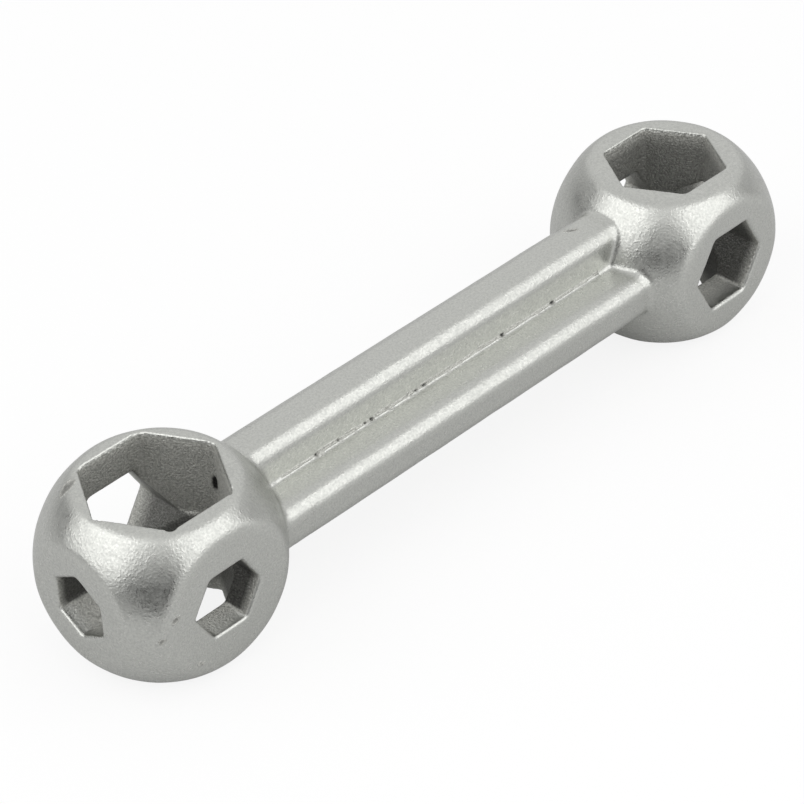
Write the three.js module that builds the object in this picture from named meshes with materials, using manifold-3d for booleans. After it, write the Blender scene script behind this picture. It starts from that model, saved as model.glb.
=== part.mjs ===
// A dog bone wrench: two socket balls joined by a bar of cross-shaped section.
// Millimetres, +Z up. The wrench lies along X on the bottom flats of its balls, the larger
// sockets at -X, and the origin is on that surface under the middle of the bar.

import * as THREE from "three";
import { mergeVertices } from "three/addons/utils/BufferGeometryUtils.js";
import Module from "manifold-3d";

const wasm = await Module();
wasm.setup();

// Balls: how far apart they are, and how deep each pair of flats is cut into them.
const HEAD_SPACING = 84;
const HEAD_RADIUS = 14;
const LYING_FLAT_DEPTH = 3.4;
const SIDE_FLAT_DEPTH = 3.1;
const END_FLAT_DEPTH = 2;
const FLAT_RIM_RADIUS = 2.5;

// Sockets: the nut that each one turns, across its flats, and the room round the nut.
const LARGE_TOP_NUT = 15;
const LARGE_BOTTOM_NUT = 14;
const LARGE_LEFT_NUT = 11;
const LARGE_RIGHT_NUT = 8;
const LARGE_END_NUT = 7;
const SMALL_TOP_NUT = 13;
const SMALL_BOTTOM_NUT = 12;
const SMALL_LEFT_NUT = 9;
const SMALL_RIGHT_NUT = 10;
const SMALL_END_NUT = 6;
const NUT_CLEARANCE = 0.2;

// Bar: two crossed ribs, which start on each ball as a short neck.
const RIB_SPAN = 16.2;
const RIB_THICKNESS = 5.9;
const RIB_EDGE_RADIUS = 2;
const NECK_LENGTH = 1.5;

// How many sides a socket has, and how finely round surfaces are faceted.
const SOCKET_SIDES = 6;
const BALL_STEPS = 40;
const RIM_STEPS = 3;
const EDGE_STEPS = 3;

const lyingFlat = HEAD_RADIUS - LYING_FLAT_DEPTH;
const sideFlat = HEAD_RADIUS - SIDE_FLAT_DEPTH;
const endFlat = HEAD_RADIUS - END_FLAT_DEPTH;
const neckReach = HEAD_RADIUS + NECK_LENGTH;
const shankLength = HEAD_SPACING - 2 * neckReach;
const clearOfHead = 1.5 * HEAD_RADIUS;

const X = new THREE.Vector3(1, 0, 0);
const Y = new THREE.Vector3(0, 1, 0);
const Z = new THREE.Vector3(0, 0, 1);

// A closed geometry as a solid that can be joined and cut. Triangles that shrink to a line
// where a turned profile meets its axis are left out.
function solid(geometry) {
  const bare = geometry.clone();
  bare.deleteAttribute("normal");
  bare.deleteAttribute("uv");
  const welded = mergeVertices(bare);
  const corners = welded.index.array;
  const triangles = [];
  for (let i = 0; i < corners.length; i += 3) {
    const [a, b, c] = corners.slice(i, i + 3);
    if (a !== b && b !== c && c !== a) triangles.push(a, b, c);
  }
  return new wasm.Manifold(new wasm.Mesh({
    numProp: 3,
    vertProperties: welded.attributes.position.array,
    triVerts: new Uint32Array(triangles),
  }));
}

function geometryOf(body) {
  const { vertProperties, triVerts } = body.getMesh();
  const geometry = new THREE.BufferGeometry();
  geometry.setAttribute("position", new THREE.BufferAttribute(vertProperties, 3));
  geometry.setIndex(new THREE.BufferAttribute(triVerts, 1));
  return geometry;
}

// Turns a geometry whose axis is Y, so that its axis runs along `axis` and its Z along `corner`.
function aim(geometry, axis, corner) {
  const across = new THREE.Vector3().crossVectors(axis, corner);
  return geometry.applyMatrix4(new THREE.Matrix4().makeBasis(across, axis, corner));
}

// Everything outside one flat of a ball, with the flat's rim rounded into the ball. The round
// stops one step short of the ball and runs on straight through its surface.
function flatCut(distance, axis, corner) {
  const roundHeight = distance - FLAT_RIM_RADIUS;
  const roundCentre = Math.sqrt((HEAD_RADIUS - FLAT_RIM_RADIUS) ** 2 - roundHeight ** 2);
  const sweep = Math.atan2(roundCentre, roundHeight);
  const profile = [new THREE.Vector2(0, distance)];
  let angle = 0;
  for (let step = 0; step < RIM_STEPS; step += 1) {
    angle = (sweep * step) / RIM_STEPS;
    profile.push(new THREE.Vector2(
      roundCentre + FLAT_RIM_RADIUS * Math.sin(angle),
      roundHeight + FLAT_RIM_RADIUS * Math.cos(angle),
    ));
  }
  const last = profile.at(-1);
  const drop = (clearOfHead - last.x) * Math.tan(angle);
  profile.push(new THREE.Vector2(clearOfHead, last.y - drop));
  profile.push(new THREE.Vector2(clearOfHead, clearOfHead));
  profile.push(new THREE.Vector2(0, clearOfHead));
  return solid(aim(new THREE.LatheGeometry(profile, BALL_STEPS), axis, corner));
}

// A six-sided hole from the middle of a ball out through one flat, two of its corners on `corner`.
function socketCut(nut, axis, corner) {
  const flatRadius = (nut + NUT_CLEARANCE) / 2;
  const cornerRadius = flatRadius / Math.cos(Math.PI / SOCKET_SIDES);
  const prism = new THREE.CylinderGeometry(cornerRadius, cornerRadius, clearOfHead, SOCKET_SIDES);
  prism.translate(0, clearOfHead / 2, 0);
  return solid(aim(prism, axis, corner));
}

// The bar's section: four ribs at right angles with rounded outer edges.
function crossSection() {
  const tip = RIB_SPAN / 2;
  const half = RIB_THICKNESS / 2;
  const edge = RIB_EDGE_RADIUS;
  const outline = new THREE.Shape();
  outline.moveTo(half, -half);
  let along = new THREE.Vector2(1, 0);
  for (let quarter = 0; quarter < 4; quarter += 1) {
    const across = new THREE.Vector2(-along.y, along.x);
    const at = (out, side) => along.clone().multiplyScalar(out).addScaledVector(across, side);
    const turn = (quarter * Math.PI) / 2;
    const first = at(tip - edge, edge - half);
    const second = at(tip - edge, half - edge);
    outline.absarc(first.x, first.y, edge, turn - Math.PI / 2, turn);
    outline.absarc(second.x, second.y, edge, turn, turn + Math.PI / 2);
    const valley = at(half, half);
    outline.lineTo(valley.x, valley.y);
    along = across;
  }
  return outline;
}

// A length of the bar along X.
function crossBar(from, to) {
  const bar = new THREE.ExtrudeGeometry(crossSection(), {
    depth: to - from,
    bevelEnabled: false,
    curveSegments: EDGE_STEPS,
  });
  bar.applyMatrix4(new THREE.Matrix4().makeBasis(Y, Z, X));
  return bar.translate(from, 0, 0);
}

// One ball with its flats, its neck towards the bar and its five sockets. `inward` is +1 or -1,
// the way along X from the ball to the bar.
function socketHead(inward, nuts) {
  const up = Z;
  const down = Z.clone().negate();
  const left = Y;
  const right = Y.clone().negate();
  const outward = X.clone().multiplyScalar(-inward);

  let head = solid(new THREE.SphereGeometry(HEAD_RADIUS, BALL_STEPS, BALL_STEPS / 2));
  for (const [distance, axis, corner] of [
    [lyingFlat, up, X],
    [lyingFlat, down, X],
    [sideFlat, left, X],
    [sideFlat, right, X],
    [endFlat, outward, Z],
  ]) {
    head = head.subtract(flatCut(distance, axis, corner));
  }

  const neckEnd = inward * neckReach;
  head = head.add(solid(crossBar(Math.min(0, neckEnd), Math.max(0, neckEnd))));

  for (const [nut, axis, corner] of [
    [nuts.top, up, X],
    [nuts.bottom, down, X],
    [nuts.left, left, X],
    [nuts.right, right, X],
    [nuts.end, outward, Z],
  ]) {
    head = head.subtract(socketCut(nut, axis, corner));
  }
  return geometryOf(head);
}

// Bare die-cast metal, tumbled to a satin grey.
function castMetal(roughness) {
  return new THREE.MeshStandardMaterial({
    color: 0xb4b4b2,
    roughness,
    metalness: 1,
    flatShading: true,
  });
}

const largeHead = new THREE.Mesh(
  socketHead(1, {
    top: LARGE_TOP_NUT,
    bottom: LARGE_BOTTOM_NUT,
    left: LARGE_LEFT_NUT,
    right: LARGE_RIGHT_NUT,
    end: LARGE_END_NUT,
  }),
  castMetal(0.45),
);
largeHead.name = "large_head";
largeHead.position.x = -HEAD_SPACING / 2;

const smallHead = new THREE.Mesh(
  socketHead(-1, {
    top: SMALL_TOP_NUT,
    bottom: SMALL_BOTTOM_NUT,
    left: SMALL_LEFT_NUT,
    right: SMALL_RIGHT_NUT,
    end: SMALL_END_NUT,
  }),
  castMetal(0.45),
);
smallHead.name = "small_head";
smallHead.position.x = HEAD_SPACING / 2;

const shank = new THREE.Mesh(crossBar(-shankLength / 2, shankLength / 2), castMetal(0.5));
shank.name = "shank";

const wrench = new THREE.Group();
wrench.add(largeHead, shank, smallHead);
wrench.position.z = lyingFlat;

export default wrench;
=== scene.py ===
"""A dog bone wrench: one bare metal casting, a ball of sockets at each end of a cross-shaped bar.

It lies along X on the lower flats of its balls, the larger sockets at -X. The frame is in metres,
and the meshes are shaped in millimetres and brought down to metres when they are finished.
"""

import math

import bmesh
import bpy
from mathutils import Matrix, Vector, noise


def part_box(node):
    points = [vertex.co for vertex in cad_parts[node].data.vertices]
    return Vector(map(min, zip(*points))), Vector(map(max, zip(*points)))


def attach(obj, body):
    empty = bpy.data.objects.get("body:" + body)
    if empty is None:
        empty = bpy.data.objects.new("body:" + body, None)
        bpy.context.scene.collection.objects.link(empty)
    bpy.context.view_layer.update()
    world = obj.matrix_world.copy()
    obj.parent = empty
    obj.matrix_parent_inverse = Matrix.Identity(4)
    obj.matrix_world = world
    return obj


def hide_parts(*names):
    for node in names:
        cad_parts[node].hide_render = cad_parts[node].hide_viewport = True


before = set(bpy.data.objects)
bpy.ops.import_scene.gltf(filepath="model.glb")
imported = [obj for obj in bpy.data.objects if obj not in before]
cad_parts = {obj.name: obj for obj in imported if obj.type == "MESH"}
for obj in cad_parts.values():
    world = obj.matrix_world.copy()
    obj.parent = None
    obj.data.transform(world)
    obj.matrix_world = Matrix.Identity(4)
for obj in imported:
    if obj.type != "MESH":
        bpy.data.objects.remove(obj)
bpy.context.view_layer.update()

# Large head
# The ball with the larger sockets, at the end that lies nearer the eye. It is zinc alloy, die-cast in
# one pour with the bar: cores in the die leave its flats and its six-sided sockets, and tumbling with
# stones afterwards rounds every edge and leaves a satin skin.

MM = 0.001
X = Vector((1, 0, 0))
Y = Vector((0, 1, 0))
Z = Vector((0, 0, 1))

# The ball, its flats and its sockets.
BALL_RADIUS = 14.0
END_FLAT = 12.0
FLAT_RIM = 2.5
NUT_CLEARANCE = 0.2
SOCKET_SIDES = 6
CLEAR_OF_BALL = 1.5 * BALL_RADIUS
BALL_STEPS = 160
FLAT_STEPS = 128
RIM_STEPS = 12

# The bar, which starts on the ball as a neck. The neck is made a little too long and cut at the seam.
RIB_SPAN = 16.2
RIB_THICKNESS = 5.9
RIB_EDGE = 2.0
RIB_EDGE_STEPS = 16
VALLEY_FILLET = 0.5
VALLEY_STEPS = 6
RIB_ROOT = 9.6
SEAM_SPARE = 3.0

# The cast skin: how finely it is made, how far its edges are rounded, and how uneven it is.
SKIN_STEP = 0.22
SKIN_ERROR = 0.03
TUMBLE_SHARE = 0.5
TUMBLE_ROUNDS = 6
NECK_START = 8.0
NECK_FILLET = 1.2
NECK_ROUNDS = 16
RIPPLE_HEIGHT = 0.03
RIPPLE_LENGTH = 3.0

# Painted shade in the sockets: it starts a little inside their mouths, and on the floors of the right and end
# sockets, which face up to the light, it deepens more slowly than on their walls. UPWARD is how far a floor's
# normal rises, and FLOOR_BLEND how sharply it turns into wall.
MOUTH_MARGIN = 0.2
FLOOR_SHADE_LEAST = 0.06
UPWARD = 0.85
FLOOR_BLEND = 4

# The nut of each socket, how fast its walls darken in a millimetre, and how dark they get: the duller skin of
# the die and painted shade that deepens inwards. The skin is at 0, and the darkest shade at 8.
LARGE_SOCKETS = {
    "top": (15, 1.5, 2.4),
    "bottom": (14, 2.0, 5.8),
    "left": (11, 2.0, 5.6),
    "right": (8, 5.0, 6.8),
    "end": (7, 6.0, 6.6),
}

# Knocks in the skin: place, direction, length, width, depth, and how dull the dirt in them is.
LARGE_HEAD_KNOCKS = (
    ((-49.0, 6.3, 20.7), (-0.89, -0.07, -0.41), 2.6, 1.4, 0.10, 5),
    ((-49.6, -10.9, 12.5), (0.91, 0.0, 0.41), 1.1, 0.7, 0.10, 5),
    ((-51.3, -10.4, 10.3), (0.65, -0.56, 0.51), 0.8, 0.6, 0.08, 4),
    ((-46.6, -10.9, 4.3), (0.87, 0.0, -0.5), 1.2, 0.4, 0.05, 3),
    ((-33.3, 0.2, 15.4), (0.0, 0.0, 1.0), 2.2, 0.9, 0.30, 12),
)

# The metal's patterns. The real grain is finer, and is drawn wide enough to show.
GRAIN_WIDTH = 0.26
MOTTLE_WIDTH = 1.0
GRAIN_HEIGHT = 0.03


def box_in_mm(node):
    low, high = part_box(node)
    return low / MM, high / MM


def turned(axis, corner):
    """Turns +Z to `axis` and +Y to `corner`."""
    return Matrix((corner.cross(axis), corner, axis)).transposed().to_4x4()


def rim_circle(distance):
    """The circle that the round between a flat and the ball is centred on: its height and its radius."""
    height = distance - FLAT_RIM
    return height, math.sqrt((BALL_RADIUS - FLAT_RIM) ** 2 - height**2)


def flat_cutter(distance, axis, corner):
    """Everything beyond one flat of a ball, with the flat's rim rounded into the ball."""
    rim_height, rim_centre = rim_circle(distance)
    sweep = math.atan2(rim_centre, rim_height)
    outline = [(0, distance)]
    for step in range(RIM_STEPS + 1):
        angle = sweep * step / RIM_STEPS
        outline.append((rim_centre + FLAT_RIM * math.sin(angle), rim_height + FLAT_RIM * math.cos(angle)))
    outline.append((CLEAR_OF_BALL * math.sin(sweep), CLEAR_OF_BALL * math.cos(sweep)))
    outline.append((CLEAR_OF_BALL, CLEAR_OF_BALL))
    outline.append((0, CLEAR_OF_BALL))
    cutter = bmesh.new()
    points = [cutter.verts.new((across, 0, up)) for across, up in outline]
    lines = [cutter.edges.new(pair) for pair in zip(points, points[1:])]
    bmesh.ops.spin(
        cutter,
        geom=points + lines,
        cent=(0, 0, 0),
        axis=(0, 0, 1),
        angle=2 * math.pi,
        steps=FLAT_STEPS,
        use_merge=True,
    )
    bmesh.ops.remove_doubles(cutter, verts=cutter.verts, dist=1e-4)
    bmesh.ops.recalc_face_normals(cutter, faces=cutter.faces)
    cutter.transform(turned(axis, corner))
    return cutter


def socket_cutter(nut, axis, corner):
    """A six-sided core from the middle of a ball out through one flat."""
    radius = (nut + NUT_CLEARANCE) / 2 / math.cos(math.pi / SOCKET_SIDES)
    cutter = bmesh.new()
    bmesh.ops.create_cone(
        cutter,
        cap_ends=True,
        segments=SOCKET_SIDES,
        radius1=radius,
        radius2=radius,
        depth=CLEAR_OF_BALL,
    )
    bmesh.ops.translate(cutter, verts=cutter.verts, vec=Z * CLEAR_OF_BALL / 2)
    cutter.transform(turned(axis, corner))
    return cutter


def bar_section(start):
    """The bar's section at one place along X: four ribs in a cross, with rounded edges and valleys."""
    section = bmesh.new()
    half = RIB_THICKNESS / 2
    tip = RIB_SPAN / 2
    corners = []
    for quarter in range(4):
        turn = Matrix.Rotation(quarter * math.pi / 2, 3, "X")
        for across, up in ((half, half), (half, tip), (-half, tip)):
            corners.append(section.verts.new(X * start + turn @ Vector((0, across, up))))
    section.faces.new(corners)
    valleys = corners[::3]
    edges = [corner for corner in corners if corner not in valleys]
    for rounded, radius, steps in ((edges, RIB_EDGE, RIB_EDGE_STEPS), (valleys, VALLEY_FILLET, VALLEY_STEPS)):
        bmesh.ops.bevel(
            section,
            geom=rounded,
            offset=radius,
            affect="VERTICES",
            segments=steps,
            profile=0.5,
            material=-1,
        )
    return section


def neck_ribs(start, end):
    """A length of the bar, which joins a ball to it."""
    ribs = bar_section(start)
    grown = bmesh.ops.extrude_face_region(ribs, geom=ribs.faces[:])["geom"]
    far_end = [part for part in grown if isinstance(part, bmesh.types.BMVert)]
    bmesh.ops.translate(ribs, verts=far_end, vec=X * (end - start))
    bmesh.ops.recalc_face_normals(ribs, faces=ribs.faces)
    return ribs


def as_object(shape, name):
    mesh = bpy.data.meshes.new(name)
    shape.to_mesh(mesh)
    shape.free()
    made = bpy.data.objects.new(name, mesh)
    bpy.context.scene.collection.objects.link(made)
    return made


def cast(blank, steps):
    """Joins and cuts the blank, then gives it the even, fine skin that the edges are rounded on."""
    body = as_object(blank, "blank")
    tools = []
    for operation, shape in steps:
        tool = as_object(shape, "tool")
        tools.append(tool)
        boolean = body.modifiers.new(operation.lower(), "BOOLEAN")
        boolean.operation = operation
        boolean.solver = "MANIFOLD"
        boolean.object = tool
    skin = body.modifiers.new("skin", "REMESH")
    skin.mode = "VOXEL"
    skin.voxel_size = SKIN_STEP
    finished = body.evaluated_get(bpy.context.evaluated_depsgraph_get())
    casting = bmesh.new()
    casting.from_mesh(finished.to_mesh())
    finished.to_mesh_clear()
    for used in [body] + tools:
        mesh = used.data
        bpy.data.objects.remove(used)
        bpy.data.meshes.remove(mesh)
    return casting


def tumble(casting, verts, rounds):
    """Rounds the edges as tumbling does."""
    for _ in range(rounds):
        bmesh.ops.smooth_vert(
            casting,
            verts=verts,
            factor=TUMBLE_SHARE,
            use_axis_x=True,
            use_axis_y=True,
            use_axis_z=True,
        )


def from_skin(place, faces):
    """How far a point lies outside the ball, its flats and the rims between them, and which way out is."""
    away = place.normalized()
    error = place.length - BALL_RADIUS
    for distance, axis, _ in faces:
        rim_height, rim_centre = rim_circle(distance)
        up = place.dot(axis) - rim_height
        if up > 0:
            sideways = place - axis * place.dot(axis)
            out = sideways.length - rim_centre
            if out < 0:
                away = axis
                error = up - FLAT_RIM
            elif math.atan2(out, up) < math.atan2(rim_centre, rim_height):
                away = (sideways.normalized() * out + axis * up).normalized()
                error = math.hypot(out, up) - FLAT_RIM
    return error, away


def settle(casting, faces):
    """Brings the skin of a ball from its fine steps back to the true ball, flats and rims."""
    for vert in casting.verts:
        error, away = from_skin(vert.co, faces)
        vert.co -= away * error * min(max(2 - abs(error) / SKIN_ERROR, 0), 1)


def in_neck_corner(vert, to_bar):
    """Whether a point is in the corner between the ball and the ribs."""
    if vert.co.dot(to_bar) < NECK_START or abs(vert.co.length - BALL_RADIUS) > NECK_FILLET:
        return False
    half = RIB_THICKNESS / 2
    tip = RIB_SPAN / 2
    across = abs(vert.co.y)
    up = abs(vert.co.z)
    return min(max(across - half, up - tip), max(up - half, across - tip)) < NECK_FILLET


def dull_and_shade_sockets(head, faces, sockets):
    """Gives each point its die skin and painted shade: none on the skin, and more from a socket's mouth
    inwards.
    """
    walls = {}
    for side, (_, axis, corner) in faces.items():
        turns = [Matrix.Rotation(2 * math.pi * wall / SOCKET_SIDES, 3, axis) for wall in range(SOCKET_SIDES)]
        walls[side] = [turn @ corner.cross(axis) for turn in turns]

    def off_wall(place, side):
        """How far a point lies from the walls of one socket."""
        if place.dot(faces[side][1]) < 0:
            return BALL_RADIUS
        return abs(max(place.dot(wall) for wall in walls[side]) - (sockets[side][0] + NUT_CLEARANCE) / 2)

    head.normal_update()
    dullness_and_shade = head.verts.layers.float.new("dullness_and_shade")
    for vert in head.verts:
        dull = -from_skin(vert.co, faces.values())[0]
        if dull > SKIN_ERROR:
            side = min(faces, key=lambda face: off_wall(vert.co, face))
            distance, axis, _ = faces[side]
            _, darkening_rate, darkest = sockets[side]
            # Floors that face up are painted lighter than walls, for the light that falls on them.
            if side in ("right", "end"):
                darkening_rate *= min(max(FLOOR_BLEND * (UPWARD - vert.normal.z), FLOOR_SHADE_LEAST), 1)
            dull = min(darkening_rate * (distance - MOUTH_MARGIN - vert.co.dot(axis)), darkest)
        vert[dullness_and_shade] = max(dull, 0)


def ripple(casting):
    """The slight unevenness of a cast skin."""
    casting.normal_update()
    for vert in casting.verts:
        vert.co += vert.normal * RIPPLE_HEIGHT * noise.noise(vert.co / RIPPLE_LENGTH)


def close_end(casting, rim):
    """Caps an open end with a flat face, which meets the next piece's face."""
    bmesh.ops.contextual_create(casting, geom=rim)
    for edge in rim:
        edge.smooth = False


def cut_at_seam(casting, seam, outward):
    """Ends the casting at a flat face across the bar."""
    bmesh.ops.bisect_plane(
        casting,
        geom=casting.verts[:] + casting.edges[:] + casting.faces[:],
        plane_co=X * seam,
        plane_no=X * outward,
        clear_outer=True,
    )
    close_end(casting, [edge for edge in casting.edges if edge.is_boundary])


def socket_head(node, inward, sockets):
    """One ball with its flats, sockets and neck. `inward` is the way along X from the ball to the bar."""
    low, high = box_in_mm(node)
    lying_flat = (high.z - low.z) / 2
    side_flat = (high.y - low.y) / 2
    middle = (low + high) / 2
    seam = high.x if inward > 0 else low.x
    middle.x = low.x + END_FLAT if inward > 0 else high.x - END_FLAT
    to_bar = X * inward
    faces = {
        "top": (lying_flat, Z, X),
        "bottom": (lying_flat, -Z, X),
        "left": (side_flat, Y, X),
        "right": (side_flat, -Y, X),
        "end": (END_FLAT, -to_bar, Z),
    }
    ball = bmesh.new()
    bmesh.ops.create_uvsphere(ball, u_segments=BALL_STEPS, v_segments=BALL_STEPS // 2, radius=BALL_RADIUS)
    steps = [("DIFFERENCE", flat_cutter(*face)) for face in faces.values()]
    ribs = neck_ribs(RIB_ROOT, abs(seam - middle.x) + SEAM_SPARE)
    ribs.transform(Matrix.Rotation(0 if inward > 0 else math.pi, 4, "Z"))
    steps.append(("UNION", ribs))
    for side, (nut, _, _) in sockets.items():
        _, axis, corner = faces[side]
        steps.append(("DIFFERENCE", socket_cutter(nut, axis, corner)))
    head = cast(ball, steps)
    tumble(head, head.verts, TUMBLE_ROUNDS)
    settle(head, faces.values())
    tumble(head, [vert for vert in head.verts if in_neck_corner(vert, to_bar)], NECK_ROUNDS)
    dull_and_shade_sockets(head, faces, sockets)
    bmesh.ops.translate(head, verts=head.verts, vec=middle)
    ripple(head)
    cut_at_seam(head, seam, inward)
    return head


def dent(casting, place, along, length, width, depth, grime):
    """A pit or a knock in the skin, `length` along one direction and `width` across it. The dirt in it
    is as dull as `grime` says."""
    casting.normal_update()
    dullness_and_shade = casting.verts.layers.float["dullness_and_shade"]
    for vert in casting.verts:
        offset = vert.co - place
        if offset.length < length:
            lengthwise = offset.dot(along)
            across = (offset - along * lengthwise).length
            reach = (2 * lengthwise / length) ** 2 + (2 * across / width) ** 2
            if reach < 1:
                vert.co -= vert.normal * depth * (1 - reach)
                vert[dullness_and_shade] = max(vert[dullness_and_shade], grime * math.sqrt(1 - reach))


def finished_piece(casting, name, node, metal):
    for face in casting.faces:
        face.smooth = True
    bmesh.ops.scale(casting, verts=casting.verts, vec=(MM, MM, MM))
    piece = as_object(casting, name)
    piece.data.materials.append(metal)
    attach(piece, "root")
    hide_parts(node)


def linear(colour):
    """An sRGB hex colour as linear light."""
    channels = [int(colour[i : i + 2], 16) / 255 for i in (1, 3, 5)]
    return (*[c / 12.92 if c <= 0.04045 else ((c + 0.055) / 1.055) ** 2.4 for c in channels], 1.0)


def per_metre(size):
    """The scale of a pattern whose features are `size` millimetres wide."""
    return 1 / (size * MM)


def add_node(tree, kind, inputs, **settings):
    """Adds a node with its settings, and sets or links its inputs. A Mix node's inputs go by number: 0 is
    its share, 2 and 3 are its numbers, and 6 and 7 its colours. It gives a number as 0 and a colour as 2."""
    made = tree.nodes.new(kind)
    for setting, value in settings.items():
        setattr(made, setting, value)
    for socket, value in inputs.items():
        if isinstance(value, bpy.types.NodeSocket):
            tree.links.new(value, made.inputs[socket])
        else:
            made.inputs[socket].default_value = value
    return made


def empty_material(name):
    material = bpy.data.materials.new(name)
    material.use_nodes = True
    material.node_tree.nodes.clear()
    return material


def tumbled_zinc():
    """Die-cast zinc alloy after tumbling: a satin grey skin whose uneven grain breaks up the highlights.
    Inside the sockets, where the stones don't reach, it keeps the rougher skin of the die, with painted
    shade that darkens it deeper in."""
    metal = empty_material("tumbled_die_cast_zinc")
    tree = metal.node_tree
    place = add_node(tree, "ShaderNodeTexCoord", {}).outputs["Object"]
    grain = add_node(
        tree,
        "ShaderNodeTexNoise",
        {"Vector": place, "Scale": per_metre(GRAIN_WIDTH), "Detail": 1.0, "Roughness": 0.5},
    ).outputs["Fac"]
    mottle = add_node(
        tree,
        "ShaderNodeTexNoise",
        {"Vector": place, "Scale": per_metre(MOTTLE_WIDTH), "Detail": 2.0, "Roughness": 0.5},
    ).outputs["Fac"]
    speckle = add_node(
        tree, "ShaderNodeMapRange", {"Value": grain, "From Min": 0.3, "From Max": 0.7}
    ).outputs[0]
    patchy = add_node(
        tree, "ShaderNodeMapRange", {"Value": mottle, "From Min": 0.3, "From Max": 0.7}
    ).outputs[0]

    # Where the stones didn't reach, and how deep the painted shade is in the sockets.
    dullness_and_shade = add_node(tree, "ShaderNodeAttribute", {}, attribute_name="dullness_and_shade").outputs["Fac"]
    unreached_and_shaded = add_node(
        tree, "ShaderNodeMapRange", {"Value": dullness_and_shade, "From Min": 0.08, "From Max": 0.7}
    ).outputs[0]
    deep_shade_share = add_node(
        tree, "ShaderNodeMapRange", {"Value": dullness_and_shade, "From Min": 1.0, "From Max": 8.0}
    ).outputs[0]

    skin_colour = add_node(
        tree,
        "ShaderNodeMix",
        {0: speckle, 6: linear("#C1C2BE"), 7: linear("#D1D2CD")},
        data_type="RGBA",
    ).outputs[2]
    die_skin = add_node(
        tree,
        "ShaderNodeMix",
        {0: speckle, 6: linear("#B0B0AB"), 7: linear("#D8D8D2")},
        data_type="RGBA",
    ).outputs[2]
    # The painted shade that darkens the sockets deep inside.
    deep_painted_shade = add_node(
        tree,
        "ShaderNodeMix",
        {0: speckle, 6: linear("#161615"), 7: linear("#3A3A38")},
        data_type="RGBA",
    ).outputs[2]
    socket_skin_and_shade = add_node(
        tree,
        "ShaderNodeMix",
        {0: deep_shade_share, 6: die_skin, 7: deep_painted_shade},
        data_type="RGBA",
    ).outputs[2]
    colour = add_node(
        tree,
        "ShaderNodeMix",
        {0: unreached_and_shaded, 6: skin_colour, 7: socket_skin_and_shade},
        data_type="RGBA",
    ).outputs[2]

    metallic = add_node(
        tree, "ShaderNodeMapRange", {"Value": unreached_and_shaded, "To Min": 1.0, "To Max": 0.6}
    ).outputs[0]
    polished = add_node(tree, "ShaderNodeMix", {0: 0.6, 2: patchy, 3: speckle}).outputs[0]
    skin_roughness = add_node(
        tree, "ShaderNodeMapRange", {"Value": polished, "To Min": 0.43, "To Max": 0.23}
    ).outputs[0]
    roughness = add_node(tree, "ShaderNodeMix", {0: unreached_and_shaded, 2: skin_roughness, 3: 0.5}).outputs[0]

    relief = add_node(
        tree, "ShaderNodeMapRange", {"Value": unreached_and_shaded, "To Min": 1.0, "To Max": 5.0}
    ).outputs[0]
    height = add_node(
        tree, "ShaderNodeMath", {0: grain, 1: relief, 2: mottle}, operation="MULTIPLY_ADD"
    ).outputs[0]
    bumps = add_node(
        tree, "ShaderNodeBump", {"Strength": 1.0, "Distance": GRAIN_HEIGHT * MM, "Height": height}
    ).outputs["Normal"]
    shader = add_node(
        tree,
        "ShaderNodeBsdfPrincipled",
        {"Base Color": colour, "Metallic": metallic, "Roughness": roughness, "Normal": bumps},
    )
    add_node(tree, "ShaderNodeOutputMaterial", {"Surface": shader.outputs["BSDF"]})
    return metal


cast_metal = tumbled_zinc()
large_head = socket_head("large_head", 1, LARGE_SOCKETS)
for place, along, *knock in LARGE_HEAD_KNOCKS:
    dent(large_head, Vector(place), Vector(along).normalized(), *knock)
finished_piece(large_head, "large_head_casting", "large_head", cast_metal)

# Shank
# The bar between the balls, four ribs in a cross, which the hand holds. It is the same pour of metal,
# with small casting pits and a nick near the small head, and painted shade along the valleys between its
# ribs.

SHANK_STEP = 0.25

# The pits along the valley that faces the eye: place along the bar, length and width.
VALLEY_PITS = (
    (-21.0, 0.5, 0.4),
    (-17.4, 0.4, 0.35),
    (-13.2, 0.5, 0.35),
    (-12.2, 0.6, 0.5),
    (-4.9, 0.6, 0.3),
    (-3.6, 0.8, 0.3),
    (9.6, 0.6, 0.5),
    (18.3, 0.8, 0.45),
)
PIT_HEIGHT = 0.25
PIT_DEPTH = 0.3
PIT_GRIME = 9

# Painted shade in the valleys, in patches: more of it on the upright side of a fillet than on its flat side.
VALLEY_SHADE = 1.0
VALLEY_SHADE_LENGTH = 1.2
UPRIGHT_SHADE = 0.8
FLAT_SHADE = -0.1
UPRIGHT_SLOPE = 1.5

NICK_AT = (25.7, 0.7)
NICK_ALONG = Vector((0.84, -0.54, 0))
NICK_LENGTH = 1.8
NICK_WIDTH = 0.5
NICK_DEPTH = 0.06
NICK_GRIME = 5

low, high = box_in_mm("shank")
bar_middle = (low.z + high.z) / 2
half_rib = RIB_THICKNESS / 2
shank = bar_section(low.x)
for edge in shank.edges[:]:
    if edge.calc_length() > 2 * SKIN_STEP:
        bmesh.ops.subdivide_edges(shank, edges=[edge], cuts=round(edge.calc_length() / SKIN_STEP) - 1)
bmesh.ops.delete(shank, geom=shank.faces[:], context="FACES_ONLY")
lengths = round((high.x - low.x) / SHANK_STEP)
bmesh.ops.spin(
    shank,
    geom=shank.verts[:] + shank.edges[:],
    cent=(0, 0, 0),
    axis=X,
    dvec=X * (high.x - low.x) / lengths,
    angle=0,
    steps=lengths,
)
bmesh.ops.recalc_face_normals(shank, faces=shank.faces)
bmesh.ops.translate(shank, verts=shank.verts, vec=Z * bar_middle)
ripple(shank)
for end_of_bar in (low.x, high.x):
    open_edges = [edge for edge in shank.edges if edge.is_boundary]
    close_end(shank, [edge for edge in open_edges if abs(edge.verts[0].co.x - end_of_bar) < SHANK_STEP / 2])
shade_layer = shank.verts.layers.float.new("dullness_and_shade")
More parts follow.
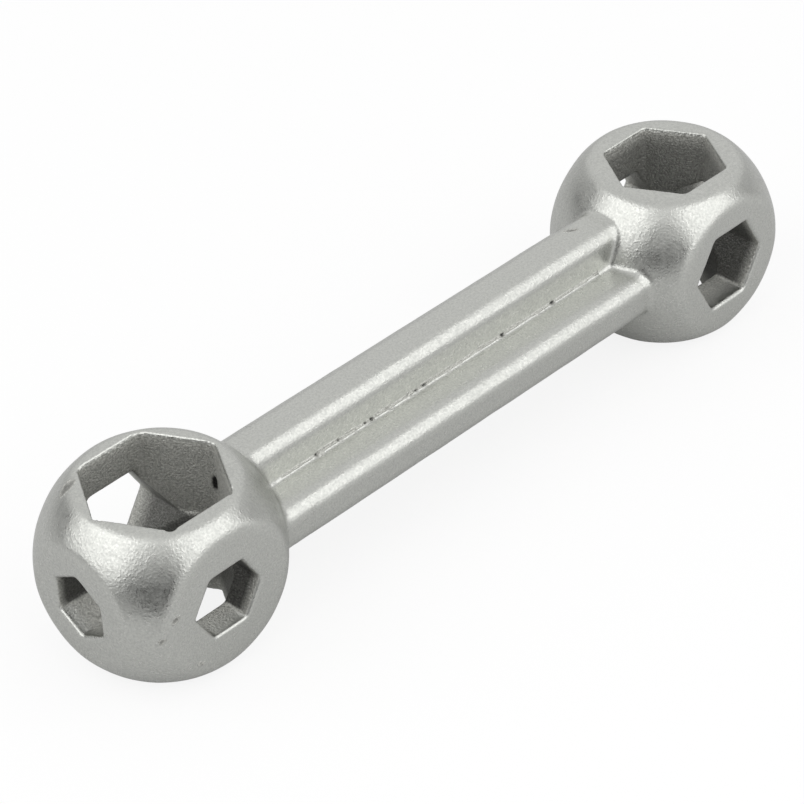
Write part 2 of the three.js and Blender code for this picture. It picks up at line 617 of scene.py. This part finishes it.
# Painted shade along each valley's fillet, darker on its upright side.
for vert in shank.verts:
    across = abs(vert.co.y) - half_rib
    up = abs(vert.co.z - bar_middle) - half_rib
    if across < VALLEY_FILLET and up < VALLEY_FILLET and across + up > 0:
        base = UPRIGHT_SHADE if up > UPRIGHT_SLOPE * across else FLAT_SHADE
        vert[shade_layer] = max(VALLEY_SHADE * (noise.noise(vert.co / VALLEY_SHADE_LENGTH) + base), 0)
for along, length, width in VALLEY_PITS:
    place = Vector((along, -half_rib, bar_middle + half_rib + PIT_HEIGHT))
    dent(shank, place, X, length, width, PIT_DEPTH, PIT_GRIME)
dent(shank, Vector((*NICK_AT, high.z)), NICK_ALONG, NICK_LENGTH, NICK_WIDTH, NICK_DEPTH, NICK_GRIME)
finished_piece(shank, "shank_casting", "shank", cast_metal)

# Small head
# The ball with the smaller sockets, at the far end. It is the same pour of metal as the bar and the
# large head, and is made in the same way.

# The nut of each socket, how fast its walls darken with die skin and painted shade, and how dark they get.
SMALL_SOCKETS = {
    "top": (13, 2.0, 4.2),
    "bottom": (12, 2.0, 6.0),
    "left": (9, 2.0, 5.0),
    "right": (10, 4.0, 6.1),
    "end": (6, 2.0, 5.0),
}

small_head = socket_head("small_head", -1, SMALL_SOCKETS)
finished_piece(small_head, "small_head_casting", "small_head", cast_metal)

# Floor
# A sheet of matt white card that the wrench lies on, just clear of its uneven skin. It is whitened for
# the camera, and a little for the metal, so that it shows as a white ground that keeps the shadow.

FLOOR_SIZE = 3.0
CARD_WHITENING = 0.85
GLOSS_SHARE = 0.12

floor_shape = bmesh.new()
bmesh.ops.create_grid(floor_shape, x_segments=1, y_segments=1, size=FLOOR_SIZE / 2)
bmesh.ops.translate(floor_shape, verts=floor_shape.verts, vec=-Z * RIPPLE_HEIGHT * MM)
floor = as_object(floor_shape, "floor")
card = empty_material("white_card")
card_tree = card.node_tree
looking = add_node(card_tree, "ShaderNodeLightPath", {}).outputs
card_colour = add_node(
    card_tree,
    "ShaderNodeMix",
    {0: looking["Is Camera Ray"], 6: linear("#CDCDCD"), 7: linear("#FAFAFA")},
    data_type="RGBA",
).outputs[2]
paper = add_node(card_tree, "ShaderNodeBsdfDiffuse", {"Color": card_colour}).outputs["BSDF"]
bright = add_node(
    card_tree, "ShaderNodeEmission", {"Color": linear("#FFFFFF"), "Strength": 1.0}
).outputs["Emission"]
mirrored = add_node(
    card_tree, "ShaderNodeMath", {0: looking["Is Glossy Ray"], 1: GLOSS_SHARE}, operation="MULTIPLY"
).outputs[0]
seen = add_node(
    card_tree, "ShaderNodeMath", {0: looking["Is Camera Ray"], 1: mirrored}, operation="MAXIMUM"
).outputs[0]
seen = add_node(
    card_tree, "ShaderNodeMath", {0: seen, 1: looking["Is Transmission Ray"]}, operation="MAXIMUM"
).outputs[0]
whitening = add_node(
    card_tree, "ShaderNodeMath", {0: seen, 1: CARD_WHITENING}, operation="MULTIPLY"
).outputs[0]
card_look = add_node(card_tree, "ShaderNodeMixShader", {0: whitening, 1: paper, 2: bright})
add_node(card_tree, "ShaderNodeOutputMaterial", {"Surface": card_look.outputs["Shader"]})
floor.data.materials.append(card)

# Camera
# It looks down on the wrench from the large head's side, at the photograph's angle. Its lens is given
# as the photograph's width and focal length in pixels.

PHOTO_PIXELS = 804
FOCAL_PIXELS = 3148
SENSOR_WIDTH = 36.0
NEAREST = 0.01
AZIMUTH = math.radians(-44.495)
ELEVATION = math.radians(37.795)
ROLL = math.radians(-1.802)
DISTANCE = 366.02
LOOKS_AT = Vector((-4.308, 0, 10.19))


def towards(bearing, rise):
    """A direction by its angle to the right of the camera and its height above the floor, in radians."""
    bearing += AZIMUTH
    return Vector((math.sin(bearing) * math.cos(rise), -math.cos(bearing) * math.cos(rise), math.sin(rise)))


def facing_back(direction):
    """Turns a camera or lamp that stands in one direction to look back along it."""
    return (-direction).to_track_quat("-Z", "Y").to_matrix().to_4x4()


towards_camera = towards(0, ELEVATION)
camera_data = bpy.data.cameras.new("camera")
camera_data.sensor_width = SENSOR_WIDTH
camera_data.lens = SENSOR_WIDTH * FOCAL_PIXELS / PHOTO_PIXELS
camera_data.clip_start = NEAREST
camera = bpy.data.objects.new("camera", camera_data)
camera.matrix_world = (
    Matrix.Translation((LOOKS_AT + towards_camera * DISTANCE) * MM)
    @ facing_back(towards_camera)
    @ Matrix.Rotation(ROLL, 4, "Z")
)
bpy.context.scene.collection.objects.link(camera)
bpy.context.scene.camera = camera
bpy.context.scene.view_settings.view_transform = "Standard"

# Light
# A soft box on each side of the camera, and a grey room that is pale behind the wrench and above it and
# dark in front of it, where the camera stands. The camera itself sees the room as white.

SOFT_BOX_DISTANCE = 0.65

# Each soft box: how far to the right of the camera and how high it stands, in degrees, its size and radiance.
SOFT_BOXES = {
    "left_soft_box": (-64, 38, (0.80, 0.66), 1.25),
    "right_soft_box": (64, 33, (0.80, 0.78), 1.15),
}

# The patches of the room: colour, where their middle is, in degrees, and the nearness of a direction to
# that middle, as a cosine, at which they start and are full.
ROOM_COLOUR = "#ADADAD"
ROOM_PATCHES = (
    ("#E8E8E8", 175, 42, 0.40, 0.92),
    ("#E0E0E0", 0, 72, 0.75, 0.96),
    ("#141414", -24, -5, 0.87, 0.99),
    ("#141414", 4, -5, 0.87, 0.99),
    ("#6C6C6C", -90, -15, 0.60, 0.95),
)

for name, (bearing, rise, size, radiance) in SOFT_BOXES.items():
    box_data = bpy.data.lights.new(name, "AREA")
    box_data.shape = "RECTANGLE"
    box_data.size, box_data.size_y = size
    box_data.energy = radiance * math.pi * size[0] * size[1]
    towards_box = towards(math.radians(bearing), math.radians(rise))
    soft_box = bpy.data.objects.new(name, box_data)
    soft_box.matrix_world = Matrix.Translation(towards_box * SOFT_BOX_DISTANCE) @ facing_back(towards_box)
    bpy.context.scene.collection.objects.link(soft_box)

world = bpy.data.worlds.new("studio")
world.use_nodes = True
bpy.context.scene.world = world
studio = world.node_tree
studio.nodes.clear()
direction = add_node(studio, "ShaderNodeTexCoord", {}).outputs["Generated"]
room = linear(ROOM_COLOUR)
for colour, bearing, rise, edge, middle in ROOM_PATCHES:
    nearness = add_node(
        studio,
        "ShaderNodeVectorMath",
        {0: direction, 1: towards(math.radians(bearing), math.radians(rise))},
        operation="DOT_PRODUCT",
    ).outputs["Value"]
    share = add_node(
        studio,
        "ShaderNodeMapRange",
        {"Value": nearness, "From Min": edge, "From Max": middle},
        interpolation_type="SMOOTHSTEP",
    ).outputs[0]
    room = add_node(
        studio, "ShaderNodeMix", {0: share, 6: room, 7: linear(colour)}, data_type="RGBA"
    ).outputs[2]
sight = add_node(studio, "ShaderNodeLightPath", {}).outputs["Is Camera Ray"]
room = add_node(
    studio, "ShaderNodeMix", {0: sight, 6: room, 7: linear("#FFFFFF")}, data_type="RGBA"
).outputs[2]
backdrop = add_node(studio, "ShaderNodeBackground", {"Color": room, "Strength": 1.0})
add_node(studio, "ShaderNodeOutputWorld", {"Surface": backdrop.outputs["Background"]})

# Black card
# A sheet of matt black card that lies on the floor in front of the wrench. It shows in the metal alone,
# and gives the balls the dark patch that polished metal has where a studio is unlit.

BLACK_CARD_SIZE = (0.135, 0.30)
BLACK_CARD_AWAY = 0.25
BLACK_CARD_BEARING = math.radians(-5)
BLACK_CARD_HEIGHT = 0.002

black_shape = bmesh.new()
bmesh.ops.create_grid(black_shape, x_segments=1, y_segments=1, size=0.5)
bmesh.ops.scale(black_shape, verts=black_shape.verts, vec=(*BLACK_CARD_SIZE, 1))
bmesh.ops.rotate(black_shape, verts=black_shape.verts, matrix=Matrix.Rotation(AZIMUTH, 3, "Z"))
black_place = towards(BLACK_CARD_BEARING, 0) * BLACK_CARD_AWAY + Z * BLACK_CARD_HEIGHT
bmesh.ops.translate(black_shape, verts=black_shape.verts, vec=black_place)
black_card = as_object(black_shape, "black_card")
black_card.visible_camera = False
black_card.visible_diffuse = False
black_card.visible_shadow = False
black = empty_material("black_card")
black_paper = add_node(black.node_tree, "ShaderNodeBsdfDiffuse", {"Color": linear("#141414")})
add_node(black.node_tree, "ShaderNodeOutputMaterial", {"Surface": black_paper.outputs["BSDF"]})
black_card.data.materials.append(black)
